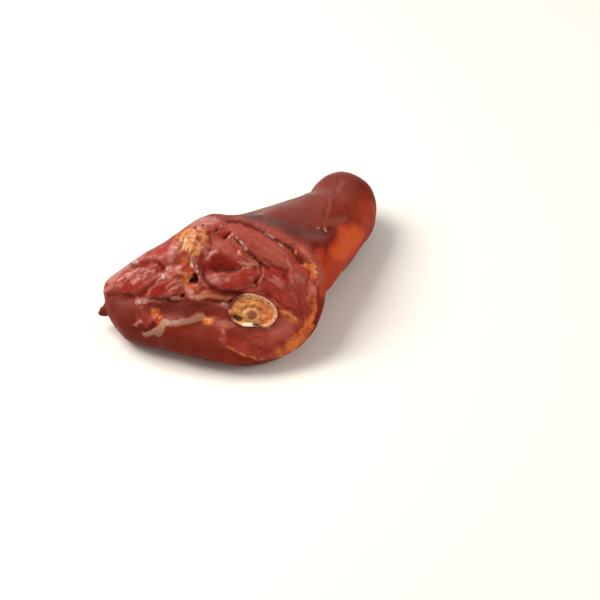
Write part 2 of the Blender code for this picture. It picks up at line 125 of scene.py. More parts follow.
# Painted zones, each with its strokes. The first five and tan are laid on the meat and the rind beside it;
# the third is brown meat with painted shade in recesses and low down, the fourth painted grey-pink sheen,
# and the fifth light strands with painted glints. Fat is yellow fat and amber is orange, pale is gristle
# with a few painted glints, fascia is thin white skin with painted glints, and deep is painted shade. On
# the rind, the grey band behind the rim is grey smoke with painted sheen and painted shade, the streak a
# light line with painted highlights on its folds, and knot its small white scars.
ZONES = {
    "rose": (
        (((240, 228), (256, 236), (270, 246), (286, 256)), 9.0, 0.6),
        (((214, 240), (226, 247), (238, 258)), 6.0, 0.6),
        (((262, 252), (276, 260), (290, 262)), 5.0, 0.6),
        (((146, 258), (156, 255), (166, 257)), 4.5, 0.3),
        (((276, 332), (284, 327), (290, 320)), 6.0, 1.0),
        (((258, 225), (276, 234), (292, 242), (306, 250), (315, 262), (318, 276)), 4.6, 0.75),
        (((296, 270), (300, 290)), 6.0, 0.45),
        (((292, 282), (296, 287), (294, 293)), 2.6, 0.7),
        (((311, 282), (308, 291), (310, 299)), 2.2, 0.7),
        (((200, 222), (216, 222), (232, 228)), 5.0, 0.5),
        (((219, 323), (226, 322), (227, 328)), 2.5, 0.7),
    ),
    "ruby": (
        (((158, 252), (166, 250)), 3.4, 0.9),
        (((125, 288), (138, 287.5), (150, 285)), 3.2, 0.7),
        (((154, 291), (164, 288), (172, 287)), 3.8, 0.9),
        (((147, 303), (156, 302), (164, 306)), 2.2, 0.9),
        (((208, 266), (216, 262), (226, 261.5), (233, 265)), 5.0, 0.9),
        (((240, 274), (248, 276), (254, 280)), 3.4, 0.7),
        (((265, 271), (275, 271), (284, 274), (284, 282)), 3.6, 0.8),
        (((270, 290), (282, 297), (288, 306)), 6.0, 0.5),
        (((221, 236), (229, 232)), 2.2, 0.7),
        (((290, 257), (300, 266), (306, 280)), 2.6, 0.5),
        (((108, 282), (114, 284), (122, 288)), 2.4, 0.6),
        (((268, 352), (250, 352), (234, 342)), 4.0, 0.4),
        (((137, 264.5), (147, 262.5), (156, 265), (162, 268.5)), 1.7, 1.0),
        (((226, 285), (240, 284), (254, 277)), 3.6, 0.8),
        (((209, 273), (213, 282), (222, 287)), 2.6, 0.6),
        (((292, 272), (300, 288), (300, 304)), 3.0, 0.5),
    ),
    # Brown meat, with painted shade in the recesses by the bone, under the tongue and low on the front.
    "umber_and_shade": (
        (((156, 306), (170, 307), (182, 309), (194, 308)), 8.0, 1.0),
        (((200, 309), (212, 309), (224, 316)), 6.5, 0.6),
        (((111, 301), (116, 314), (124, 327), (134, 340)), 9.0, 0.6),
        (((176, 335), (200, 341), (226, 350)), 6.0, 0.45),
        (((124, 300), (134, 310), (140, 318)), 6.0, 0.6),
        (((212, 289), (226, 294), (242, 295)), 2.4, 0.8),
        (((232, 333), (244, 334)), 5.0, 0.5),
        (((147, 344), (170, 348), (196, 353)), 6.0, 0.5),
        (((96, 311), (106, 309)), 6.0, 1.0),
        (((330, 177), (345, 174), (360, 182)), 6.0, 0.35),
        (((208, 277), (224, 282), (242, 278)), 5.5, 0.35),
    ),
    # Painted grey-pink sheen and highlights on the edges of the lobes and by the bone.
    "lilac_sheen": (
        (((110, 281), (121, 270), (131, 262), (141, 255)), 3.0, 0.7),
        (((170, 259), (172.5, 254), (173, 248)), 2.6, 0.8),
        (((166, 268), (172, 267.5), (179, 267.5)), 1.6, 1.0),
        (((207, 258), (211, 255), (217, 252)), 1.1, 1.0),
        (((196, 226), (203, 221), (214, 219)), 3.4, 0.6),
        (((213, 277), (219, 281)), 3.4, 0.35),
        (((225, 303), (229, 306)), 2.2, 0.9),
        (((296, 276), (303, 282)), 2.2, 0.4),
        (((199, 247), (206, 250)), 3.0, 0.4),
        (((206, 320), (222, 325), (232, 325)), 3.0, 0.35),
        (((255, 326), (263, 328), (269, 328)), 1.6, 0.6),
    ),
    # Light strands, with painted glints on the lobes and the tongue.
    "blush_and_glints": (
        (((119, 281), (124, 277), (130, 274)), 1.5, 0.9),
        (((128, 277), (136, 272), (142.5, 268)), 1.6, 0.9),
        (((133, 282), (139, 278)), 1.5, 0.9),
        (((104, 291), (112, 286), (122, 285)), 1.2, 0.5),
        (((143, 277), (148, 272), (153, 271)), 1.3, 0.7),
        (((149, 290), (155, 284), (161, 278)), 1.1, 0.6),
        (((160, 274), (166, 274), (170, 278)), 1.4, 0.6),
        (((167, 288), (173, 283), (181, 280)), 1.4, 0.6),
        (((170, 292), (180, 285), (186, 284)), 1.3, 0.6),
        (((186, 285), (190, 292), (192, 297)), 2.2, 0.8),
        (((176, 271), (184, 273)), 1.3, 0.6),
        (((272, 281), (278, 283), (284, 287)), 1.4, 0.35),
        (((287.5, 261), (291, 270), (292, 282)), 1.2, 0.3),
        (((318, 282), (312, 290), (308, 300)), 1.5, 0.25),
        (((272, 277), (278, 279), (283, 284)), 1.1, 0.4),
        (((236, 263), (247, 264.5), (257, 265)), 0.8, 0.8),
        (((238, 271), (248, 267.5), (257, 266)), 0.7, 0.6),
        (((216, 289.5), (224, 291.5)), 0.8, 0.4),
        (((148, 300), (158, 301), (165, 301)), 0.9, 0.7),
        (((136, 325), (142.5, 322.5)), 1.4, 0.6),
        (((214, 276), (218, 279)), 1.2, 0.5),
        (((226, 280), (229, 279)), 1.2, 0.5),
        (((223, 334), (221.5, 330)), 1.0, 0.6),
        (((205, 254), (211, 253), (216, 251)), 1.0, 0.7),
        (((300, 248), (310, 256)), 1.4, 0.3),
    ),
    "fat": (
        (((182, 238), (192, 235), (203, 236)), 4.6, 0.62),
        (((180, 247), (188, 246), (196, 249)), 4.4, 0.66),
        (((193, 254), (191, 262)), 2.6, 0.6),
        (((186, 241), (197, 242)), 3.0, 0.7),
        (((295, 250.5), (295.6, 254)), 1.0, 1.0),
        (((309, 262), (313.5, 266), (315, 272)), 2.2, 0.6),
        (((238.6, 251.3), (240, 253.2)), 1.4, 0.9),
        (((156, 315), (159, 319)), 1.6, 0.5),
        (((205, 317), (210, 321)), 1.8, 0.6),
        (((281, 313), (288, 315.5), (295, 319.5)), 1.7, 0.5),
        (((186, 274), (188, 280)), 1.6, 0.6),
    ),
    "amber": (
        (((176, 236), (190, 231), (205, 234), (208, 242)), 4.0, 0.5),
        (((184, 262), (188, 272), (186, 281)), 3.4, 0.7),
        (((305, 264), (311, 269), (314, 277)), 2.4, 0.8),
        (((315, 298), (314, 312), (310, 322), (304, 333)), 1.6, 0.8),
        (((308, 327), (301, 337), (291, 346), (281, 353.5)), 4.4, 1.0),
        (((280, 313), (287, 315), (295, 320)), 2.4, 1.0),
        (((226, 345), (232.5, 349), (237.5, 352), (246, 356), (255, 357.5)), 1.0, 0.7),
        (((155, 312), (158, 318), (161, 323)), 4.0, 0.75),
        (((199, 315), (206, 319), (213, 323)), 3.6, 0.7),
        (((226, 325), (223.5, 330)), 2.4, 0.5),
        (((186, 279), (189, 285), (196, 288)), 2.6, 0.6),
        (((319.5, 276), (320.5, 296)), 0.8, 0.4),
        (((262, 359), (274, 357)), 2.0, 0.4),
    ),
    # Pale gristle, with a few painted glints.
    "pale": (
        (((164, 323.5), (176, 323), (188, 321.5), (195, 318.5), (201, 315)), 2.7, 1.0),
        (((146, 334), (155, 331.5), (162, 327)), 2.3, 1.0),
        (((158, 334), (161, 330)), 2.2, 1.0),
        (((137.5, 303.5), (142, 302), (146, 301.5)), 1.8, 1.0),
        (((161.5, 275.5), (164.5, 276.5)), 1.6, 1.0),
        (((176, 251.5), (179, 252)), 1.2, 1.0),
        (((194, 256), (192, 262), (190.5, 266)), 1.8, 0.8),
        (((196, 265), (198, 272)), 1.2, 0.8),
        (((172, 297.5), (178, 297.5)), 1.5, 0.7),
        (((219.5, 338), (221, 339)), 1.0, 0.7),
        (((253, 281), (254, 285)), 0.8, 0.6),
    ),
    # Thin white skin, with painted glints on the lobes.
    "fascia_and_glints": (
        (((229.5, 238), (231.5, 236)), 0.6, 0.7),
        (((233, 234), (234, 236.5)), 0.5, 0.6),
        (((237, 237), (238, 238.5)), 0.5, 0.6),
        (((240.5, 242), (242, 244), (245, 249)), 1.1, 1.0),
        (((250, 255), (252, 258.5)), 0.7, 0.6),
        (((265, 233), (269, 235), (274, 238)), 0.9, 0.6),
        (((280, 243.5), (282, 245.5)), 1.1, 0.7),
        (((219, 226), (220, 227)), 0.5, 0.6),
        (((204, 223), (206, 224)), 0.5, 0.5),
        (((191, 264.5), (192, 266)), 1.1, 1.0),
        (((133, 263.5), (137, 261.5)), 1.4, 0.5),
        (((163, 274), (165, 277)), 0.9, 0.8),
        (((196, 270.5), (198, 273)), 0.7, 0.7),
        (((269, 234.5), (273, 237)), 0.6, 0.8),
    ),
    "tan": (
        (((199, 298), (206, 295), (217, 297), (228, 299)), 2.6, 0.85),
        (((171, 298), (180, 299)), 1.6, 0.7),
        (((132, 325), (142, 330), (148, 333)), 0.8, 0.6),
        (((103, 292), (105, 297)), 1.6, 0.8),
    ),
    # Painted shade in the dark hollows.
    "deep": (
        (((213, 269), (222, 268), (231, 269.5)), 2.6, 0.6),
        (((264, 272), (266, 284)), 1.6, 0.5),
        (((141, 328), (149, 329), (155, 324)), 2.4, 0.9),
        (((286, 268), (286, 277)), 1.4, 0.5),
        (((203, 266), (204, 278), (211, 287), (222, 292), (238, 293.5)), 1.8, 0.8),
        (((205, 301), (217, 301), (236, 301)), 1.6, 0.7),
        (((156, 300), (166, 300.5), (178, 301)), 1.6, 0.6),
        (((316, 322), (312, 334), (305, 344)), 1.2, 0.5),
    ),
    # Grey smoke on the rind behind the rim, with painted sheen on it and painted shade in the valley there.
    "grey_smoke_and_sheen": (
        (((243, 214), (258, 218), (276, 223)), 4.6, 1.0),
        (((276, 223), (294, 229), (308, 235)), 4.6, 0.7),
        (((292, 229), (306, 232), (320, 235)), 5.0, 0.6),
        (((290, 218), (312, 222)), 6.0, 0.3),
        (((244, 213), (262, 209), (286, 203)), 2.6, 0.5),
        (((213, 212), (228, 214), (240, 217)), 1.6, 0.6),
    ),
    # Light lines on the rind, with painted highlights on the folds by the knob and the pinch.
    "streak_and_highlight": (
        (((330.5, 200), (328.5, 208), (326, 217), (324.8, 227)), 1.5, 0.42),
        (((334, 176), (331, 188), (330, 198)), 1.8, 0.12),
        (((330, 222.5), (337, 221.5), (344, 219)), 3.0, 0.32),
        (((341, 182), (339.5, 190)), 2.0, 0.3),
    ),
    "knot": (
        (((324.4, 228.5), (325, 231)), 0.8, 1.0),
        (((317.6, 228.8), (319, 229.2)), 0.7, 0.8),
    ),
}
# Strokes where the rind in front, and the tag, are orange; on the rind this is partly painted glow of light
# shining through it.
EMBERS = (
    (((352, 238), (347, 245), (342, 252)), 9.5, 1.0),
    (((344, 232), (340, 244)), 6.0, 0.8),
    (((304, 250), (313, 257), (318, 268)), 4.0, 0.4),
    (((321, 254), (325, 264), (324, 276)), 5.0, 0.45),
    (((336, 258), (329, 272), (322, 286)), 8.0, 0.55),
    (((366, 212), (364, 224), (358, 240)), 10.0, 0.33),
    (((98, 313), (103, 310)), 1.8, 0.6),
)
# How far a place below counts, and how much longer than wide a strand is.
FIBRE_REACH = 16
FIBRE_STRETCH = 8
# Which way the strands run, in degrees up from the picture's level, and the places near which they do.
FIBRES = {
    30: ((130, 275), (160, 258), (165, 290)),
    -38: ((225, 248), (262, 246), (290, 268), (290, 325)),
    10: ((230, 282), (250, 345), (210, 300), (215, 225)),
    -65: ((300, 290), (130, 315)),
    70: ((195, 245),),
}
# Patches all round where less smoke took: the points in space they pass through, reach, strength.
GLOWS = (
    (((100, -12, 30), (76, -32, 30), (56, -42, 24)), 24, 0.5),
    (((60, -30, 20), (10, -52, 12)), 26, 0.3),
    (((118, 50, 12), (84, 52, 26), (40, 56, 24)), 34, 0.30),
    (((-30, 66, 20), (-78, 62, 26)), 28, 0.25),
)
# The size of the waves that break these up, and how far they shift them, in picture points and in mm.
GLOW_PATCH = 24
EMBER_DRIFT = 3.5
GLOW_DRIFT = 12
# Where the cut blends softly into the rind, at its lower left: the heights and sides in the picture that it
# starts and is full at. How far the cut blends elsewhere, and how much further there.
SOFT_EDGE_HEIGHTS = (318, 336)
SOFT_EDGE_SIDES = (250, 225)
CRISP_BLEND = 0.8
MORE_BLEND = 2.2
# The edge of the cut: outside it, and wherever the picture doesn't see, the knuckle has its rind.
CUT_EDGE = (
    (98, 290), (104, 278), (116, 266), (128, 256), (144, 247), (170, 233), (188, 218),
    (200, 211), (214, 213), (227, 220), (239, 222.5), (256, 228), (277, 240), (294, 252),
    (304, 262), (315, 270), (317, 290), (314.5, 310), (308, 330), (298, 344), (285, 353.5),
    (268, 359), (255, 360), (244, 357), (232, 349), (221, 344), (213, 326), (200, 320),
    (184, 325), (168, 328), (158, 335), (146, 336), (138, 326), (134, 310), (122, 299),
    (103, 297),
)


def noise(points, size, seed):
    """Smooth noise from -1 to 1, with bumps about size apart."""
    lattice = np.random.default_rng(seed).uniform(-1, 1, (NOISE_CELLS, NOISE_CELLS, NOISE_CELLS))
    cell = np.floor(points / size).astype(int)
    part = points / size - cell
    part = part * part * (3 - 2 * part)
    total = np.zeros(len(points))
    for corner in np.ndindex(2, 2, 2):
        weight = np.prod(np.where(np.array(corner), part, 1 - part), axis=1)
        at = (cell + corner) % NOISE_CELLS
        total += weight * lattice[at[:, 0], at[:, 1], at[:, 2]]
    return total


def layered_noise(points, size, seed, layers=3):
    """Noise with finer layers on it, each half as large and half as strong as the one before."""
    total = np.zeros(len(points))
    for layer in range(layers):
        total += noise(points, size / 2**layer, seed + layer) / 2**layer
    return total


def drift(points, size, seeds, make=noise):
    """One noise for each seed, side by side, to shift places or points by."""
    return np.stack([make(points, size, seed) for seed in seeds], 1)


def ramp(values, low, high):
    """0 at low, 1 at high and a soft step between; low may be the larger of the two."""
    share = np.clip((values - low) / (high - low), 0, 1)
    return share * share * (3 - 2 * share)


def line_distance(points, path):
    """Distance to the line through the path's points, in their own units."""
    nearest = np.full(len(points), np.inf)
    for start, end in zip(path[:-1], path[1:]):
        a, run = np.array(start, float), np.array(end, float) - np.array(start, float)
        share = np.clip(((points - a) @ run) / (run @ run), 0, 1)
        nearest = np.minimum(nearest, np.linalg.norm(points - a - share[:, None] * run, axis=1))
    return nearest


def path_distance(places, path):
    """Distance in the picture to the line through the path's places, in mm at the cut."""
    return line_distance(places, path) / POINTS_PER_MM


def edge_distance(places, edge):
    """Distance to a closed outline, in mm at the cut: above 0 inside and below 0 outside."""
    nearest = path_distance(places, (*edge, edge[0]))
    inside = np.zeros(len(places), bool)
    x, y = places.T
    for (x0, y0), (x1, y1) in zip(edge, (*edge[1:], edge[0])):
        crosses = (y0 > y) != (y1 > y)
        if y1 != y0:
            inside ^= crosses & (x < (x1 - x0) * (y - y0) / (y1 - y0) + x0)
    return np.where(inside, nearest, -nearest)


def picture_places(points):
    """Where the picture shows each point."""
    off = points - EYE
    depth = -(off @ BACK)
    zoom = PICTURE_SIZE * PICTURE_LENS / PICTURE_SENSOR
    middle = PICTURE_SIZE / 2
    return np.stack([middle + zoom * (off @ RIGHT) / depth, middle - zoom * (off @ UP) / depth], 1)


def zone_strength(places, strokes):
    """How strongly a zone's strokes cover each place, from 0 to 1."""
    total = np.zeros(len(places))
    for path, half_width, strength in strokes:
        near = ramp(path_distance(places, path), half_width * STROKE_OUTER, half_width * STROKE_INNER)
        total = np.maximum(total, strength * near)
    return total


class Skin:
    """A piece's points in mm, with their normals, places and how far they face the viewer."""

    def __init__(self, obj):
        self.obj = obj
        self.read()

    def read(self):
        count = len(self.obj.data.vertices)
        flat = np.empty(count * 3, np.float32)
        self.obj.data.vertices.foreach_get("co", flat)
        self.points = flat.reshape(-1, 3).astype(float) / MM
        self.obj.data.vertices.foreach_get("normal", flat)
        self.normals = flat.reshape(-1, 3).astype(float)
        self.places = picture_places(self.points)
        self.facing = self.normals @ BACK

    def push(self, height):
        """Moves the points out along their normals."""
        moved = self.points + self.normals * height[:, None]
        self.obj.data.vertices.foreach_set("co", (moved * MM).astype(np.float32).ravel())
        self.obj.data.update()
        self.read()

    def hollows(self, rounds):
        """How far in mm each point lies under the surface around it: below 0 on ridges."""
        count = len(self.points)
        edges = np.empty(len(self.obj.data.edges) * 2, np.int32)
        self.obj.data.edges.foreach_get("vertices", edges)
        a, b = edges.reshape(-1, 2).T
        ends, others = np.concatenate([a, b]), np.concatenate([b, a])
        neighbours = np.bincount(ends, minlength=count)[:, None]
        smooth = self.points
        for _ in range(rounds):
            sums = [np.bincount(ends, smooth[others, axis], count) for axis in range(3)]
            smooth = np.stack(sums, 1) / neighbours
        return np.einsum("ij,ij->i", smooth - self.points, self.normals)

    def paint(self, layers):
        """Stores each layer's number at every point, which the material reads by the layer's name."""
        for name, values in layers.items():
            made = self.obj.data.attributes.new(name, "FLOAT", "POINT")
            made.data.foreach_set("value", np.clip(values, 0, 1).astype(np.float32))


def wandered(skin, waves):
    """The skin's places, shifted a little so that what is painted there has uneven edges."""
    return skin.places + sum(shift * drift(skin.points, size, seeds) for size, shift, seeds in waves)


def apply_modifier(obj, kind, **settings):
    bpy.ops.object.select_all(action="DESELECT")
    obj.select_set(True)
    bpy.context.view_layer.objects.active = obj
    modifier = obj.modifiers.new(kind.title(), kind)
    for key, value in settings.items():
        setattr(modifier, key, value)
    bpy.ops.object.modifier_apply(modifier=modifier.name)


def finer_copy(node, name, voxel, passes):
    """A new piece with the solid's own form under an even, fine skin."""
    obj = bpy.data.objects.new(name, node.data.copy())
    bpy.context.scene.collection.objects.link(obj)
    obj.data.materials.clear()
    apply_modifier(obj, "WELD", merge_threshold=WELD_DISTANCE * MM)
    apply_modifier(obj, "REMESH", mode="VOXEL", voxel_size=voxel * MM)
    apply_modifier(obj, "SMOOTH", factor=SMOOTH_FACTOR, iterations=passes)
    obj.data.name = name
    obj.data.shade_smooth()
    return obj


def dress(obj, node, material):
    obj.data.materials.append(material)
    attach(obj, "root")
    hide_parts(node)


# --- materials -------------------------------------------------------------------------------------

RIND = {
    "dark": (0.155, 0.015, 0.007),
    "light": (0.225, 0.026, 0.010),
    "brown": (0.115, 0.012, 0.007),
    # Smoke, with painted grey sheen where the rind faces up.
    "smoke_and_sheen": (0.175, 0.036, 0.026),
    # Orange where less smoke took, partly painted glow of light shining through the rind.
    "ember": (0.34, 0.030, 0.011),
    "glow": (0.51, 0.070, 0.011),
    # Grey smoke behind the rim, with painted sheen and painted shade.
    "grey_smoke_and_sheen": (0.128, 0.053, 0.048),
    # A light line, with painted highlights on the folds.
    "streak_and_highlight": (0.32, 0.095, 0.055),
    "knot": (0.45, 0.32, 0.25),
}
MEAT = {
    "dark": (0.215, 0.024, 0.013),
    "light": (0.32, 0.052, 0.030),
    "strand": (0.47, 0.130, 0.088),
    "between_strands": (0.16, 0.012, 0.007),
    "grain": (0.42, 0.12, 0.080),
    "between_grains": (0.15, 0.010, 0.006),
    "fibre": (0.48, 0.160, 0.115),
    "between_fibres": (0.13, 0.009, 0.006),
    # Painted shade: deep in the dark hollows, under where the relief lies low, crease in its creases and
    # folds, hole in the holes.
    "deep": (0.115, 0.009, 0.006),
    "under": (0.085, 0.008, 0.005),
    "crease": (0.065, 0.007, 0.005),
    "hole": (0.018, 0.005, 0.004),
}
AMBER = {
    "dark": (0.38, 0.052, 0.014),
    "light": (0.55, 0.150, 0.030),
    "red": (0.36, 0.045, 0.016),
    "fleck": (0.62, 0.25, 0.090),
}
FAT = {
    "dark": (0.50, 0.185, 0.050),
    "light": (0.60, 0.300, 0.115),
    "red": (0.42, 0.090, 0.035),
    "fleck": (0.66, 0.40, 0.21),
}
PALE = {"dark": (0.24, 0.085, 0.052), "light": (0.36, 0.190, 0.122)}
# Thin white skin, and painted glints.
FASCIA_AND_GLINTS = (0.68, 0.52, 0.46)
BONE = {
    "sponge_dark": (0.54, 0.160, 0.024),
    "sponge_light": (0.72, 0.34, 0.085),
    "sponge_grain": (0.74, 0.40, 0.130),
    "red": (0.50, 0.080, 0.027),
    "pore": (0.34, 0.075, 0.020),
    "rim_dark": (0.41, 0.140, 0.070),
    "rim_light": (0.66, 0.34, 0.185),
    "ring_dark": (0.36, 0.130, 0.050),
    "ring_light": (0.53, 0.255, 0.112),
    "white": (0.76, 0.62, 0.46),
    "shade": (0.21, 0.055, 0.016),
    # The corner and the pits below are painted shade.
    "corner": (0.17, 0.020, 0.013),
    "pit_dark": (0.060, 0.014, 0.014),
    "pit_light": (0.20, 0.060, 0.045),
}
MARROW = {"dark": (0.14, 0.032, 0.008), "light": (0.31, 0.095, 0.024)}
# Colours that tint the cut in painted strokes, in the order they are laid on; the third is partly painted
# shade, the fifth painted sheen and the sixth partly painted glints.
TINTS = {
    "rose": (0.385, 0.088, 0.060),
    "ruby": (0.29, 0.013, 0.008),
    "umber_and_shade": (0.112, 0.016, 0.010),
    "tan": (0.34, 0.12, 0.055),
    "lilac_sheen": (0.44, 0.190, 0.160),
    "blush_and_glints": (0.58, 0.240, 0.175),
}
# The tints that break up along the strands; the others break up with the grain.
STREAKED = {"blush_and_glints", "lilac_sheen", "ruby"}
# The least share of a tint that its blotches leave: the usual one, and those that differ.
USUAL_LEAST = 0.45
TINT_LEAST = {"umber_and_shade": 0.8, "blush_and_glints": 0.25}
# How much of the meat's grain the rind shows.
RIND_GRAIN = 0.4
# How quickly each finer layer of every texture weakens.
TEXTURE_ROUGHNESS = 0.55


class Shader:
    """Builds a material's nodes: colours laid over each other, each where a painted zone says."""

    def __init__(self, name):
        self.material = bpy.data.materials.new(name)
        self.material.use_nodes = True
        self.nodes = self.material.node_tree.nodes
        self.links = self.material.node_tree.links
        self.surface = self.nodes["Principled BSDF"]
        self.place = self.nodes.new("ShaderNodeTexCoord").outputs["Object"]

    def put(self, value, socket):
        if isinstance(value, bpy.types.NodeSocket):
            self.links.new(value, socket)
        elif isinstance(value, tuple) and len(value) == 3 and socket.type == "RGBA":
            socket.default_value = (*value, 1.0)
        else:
            socket.default_value = value

    def done(self, values):
        """Sets the surface's own sockets by name, and gives the material."""
        for name, value in values.items():
            self.put(value, self.surface.inputs[name])
        return self.material

    def texture(self, size, detail, degrees=None, distortion=0.0):
        """Noise from 0 to 1 with bumps about size mm apart, or with strands that run up at this angle."""
        made = self.nodes.new("ShaderNodeTexNoise")
        made.inputs["Scale"].default_value = 1 / (size * MM)
        made.inputs["Detail"].default_value = detail
        made.inputs["Roughness"].default_value = TEXTURE_ROUGHNESS
        made.inputs["Distortion"].default_value = distortion
        vector = self.place
        if degrees is not None:
            mapping = self.nodes.new("ShaderNodeMapping")
            mapping.vector_type = "TEXTURE"
            turn = math.radians(degrees)
            along = RIGHT * math.cos(turn) + UP * math.sin(turn)
            aside = UP * math.cos(turn) - RIGHT * math.sin(turn)
            mapping.inputs["Rotation"].default_value = Matrix((along, aside, BACK)).transposed().to_euler()
            mapping.inputs["Scale"].default_value = (FIBRE_STRETCH, 1, 1)
            self.links.new(vector, mapping.inputs["Vector"])
            vector = mapping.outputs["Vector"]
        self.links.new(vector, made.inputs["Vector"])
        return made.outputs["Fac"]

    def zone(self, name):
        made = self.nodes.new("ShaderNodeAttribute")
        made.attribute_name = name
        return made.outputs["Fac"]

    def math(self, operation, a, b):
        made = self.nodes.new("ShaderNodeMath")
        made.operation = operation
        self.put(a, made.inputs[0])
        self.put(b, made.inputs[1])
        return made.outputs[0]

    def times(self, a, b):
        return self.math("MULTIPLY", a, b)

    def mean(self, a, b):
        return self.times(self.math("ADD", a, b), 0.5)

    def step(self, value, low, high, to_low=0.0, to_high=1.0):
        """A soft step from to_low, where the value is low, to to_high, where it is high."""
        made = self.nodes.new("ShaderNodeMapRange")
        made.interpolation_type = "SMOOTHSTEP"
        numbers = {"From Min": low, "From Max": high, "To Min": to_low, "To Max": to_high}
        for socket, number in numbers.items():
            made.inputs[socket].default_value = number
        self.put(value, made.inputs["Value"])
        return made.outputs["Result"]

    def mix(self, share, a, b):
        made = self.nodes.new("ShaderNodeMix")
        made.data_type = "RGBA"
        self.put(share, made.inputs["Factor"])
        self.put(a, made.inputs["A"])
        self.put(b, made.inputs["B"])
        return made.outputs["Result"]

    def lay(self, under, over, value, low, high, most=1.0):
        """Lays a colour over another: none of it where the value is low, and the most where it is high."""
        return self.mix(self.step(value, low, high, 0.0, most), under, over)

    def blotted(self, zone, grain, least):
        """A zone that stays soft, and that a texture thins out in blotches, to this least share."""
        return self.times(zone, self.step(grain, 0.30, 0.62, least, 1.0))

    def ragged(self, zone, grain, amount):
        """A zone whose edge is broken up by a texture."""
        broken = self.math("ADD", zone, self.times(self.math("SUBTRACT", grain, 0.5), amount))
        return self.times(self.step(broken, 0.15, 0.80), self.step(zone, 0.02, 0.25))

    def bump(self, height, distance, normal=None):
        made = self.nodes.new("ShaderNodeBump")
        made.inputs["Distance"].default_value = distance * MM
        self.put(height, made.inputs["Height"])
        if normal is not None:
            self.links.new(normal, made.inputs["Normal"])
        return made.outputs["Normal"]


def fibre_texture(s):
    """Fine strands from 0 to 1, which run in each place as FIBRES says."""
    streaks = 0.0
    for degrees in FIBRES:
        here = s.times(s.zone(f"run_{degrees}"), s.texture(1.6, detail=4.0, degrees=degrees))
        streaks = s.math("ADD", here, streaks)
    return streaks


def rind_colour(s, broad, patchy):
    colour = s.lay(RIND["dark"], RIND["light"], broad, 0.35, 0.65)
    colour = s.lay(colour, RIND["brown"], patchy, 0.40, 0.75, most=0.6)
    # Smoke on the rind's top, with painted grey sheen: lighter and greyer where it faces up.
    smoke_and_sheen = s.times(s.zone("smoke_and_sheen"), s.step(patchy, 0.2, 0.6, 0.5, 1.0))
    colour = s.mix(smoke_and_sheen, colour, RIND["smoke_and_sheen"])
    # Orange, partly painted glow of light shining through the rind.
    glow = s.times(s.zone("glow"), s.step(patchy, 0.25, 0.6, 0.8, 1.0))
    colour = s.lay(colour, RIND["ember"], glow, 0.05, 0.45)
    colour = s.lay(colour, RIND["glow"], glow, 0.40, 0.95)
    # The grey band is partly painted sheen and shade, and the streak partly painted highlights.
    for name in ("grey_smoke_and_sheen", "streak_and_highlight", "knot"):
        colour = s.mix(s.zone(name), colour, RIND[name])
    return colour


def meat_colour(s, patchy, grain, streaks):
    strand = s.zone("strand")
    calm = s.lay(MEAT["dark"], MEAT["light"], patchy, 0.35, 0.7)
    colour = s.lay(calm, MEAT["strand"], strand, 0.52, 0.85, most=0.7)
    colour = s.lay(colour, MEAT["between_strands"], strand, 0.45, 0.15, most=0.6)
    colour = s.lay(colour, MEAT["grain"], grain, 0.58, 0.8, most=0.35)
    colour = s.lay(colour, MEAT["between_grains"], grain, 0.42, 0.2, most=0.35)
    colour = s.lay(colour, MEAT["fibre"], streaks, 0.54, 0.70, most=0.45)
    colour = s.lay(colour, MEAT["between_fibres"], streaks, 0.46, 0.32, most=0.4)
    return s.mix(s.zone("grainy"), calm, colour)


def amber_colour(s, patchy, grain, fine):
    colour = s.lay(AMBER["dark"], AMBER["light"], patchy, 0.35, 0.65)
    colour = s.lay(colour, AMBER["red"], grain, 0.60, 0.38, most=0.4)
    return s.lay(colour, AMBER["fleck"], fine, 0.54, 0.74, most=0.35)


def fat_colour(s, patchy, grain, fine):
    colour = s.lay(FAT["dark"], FAT["light"], patchy, 0.35, 0.65)
    colour = s.lay(colour, FAT["red"], grain, 0.50, 0.32, most=0.8)
    return s.lay(colour, FAT["fleck"], fine, 0.56, 0.72)


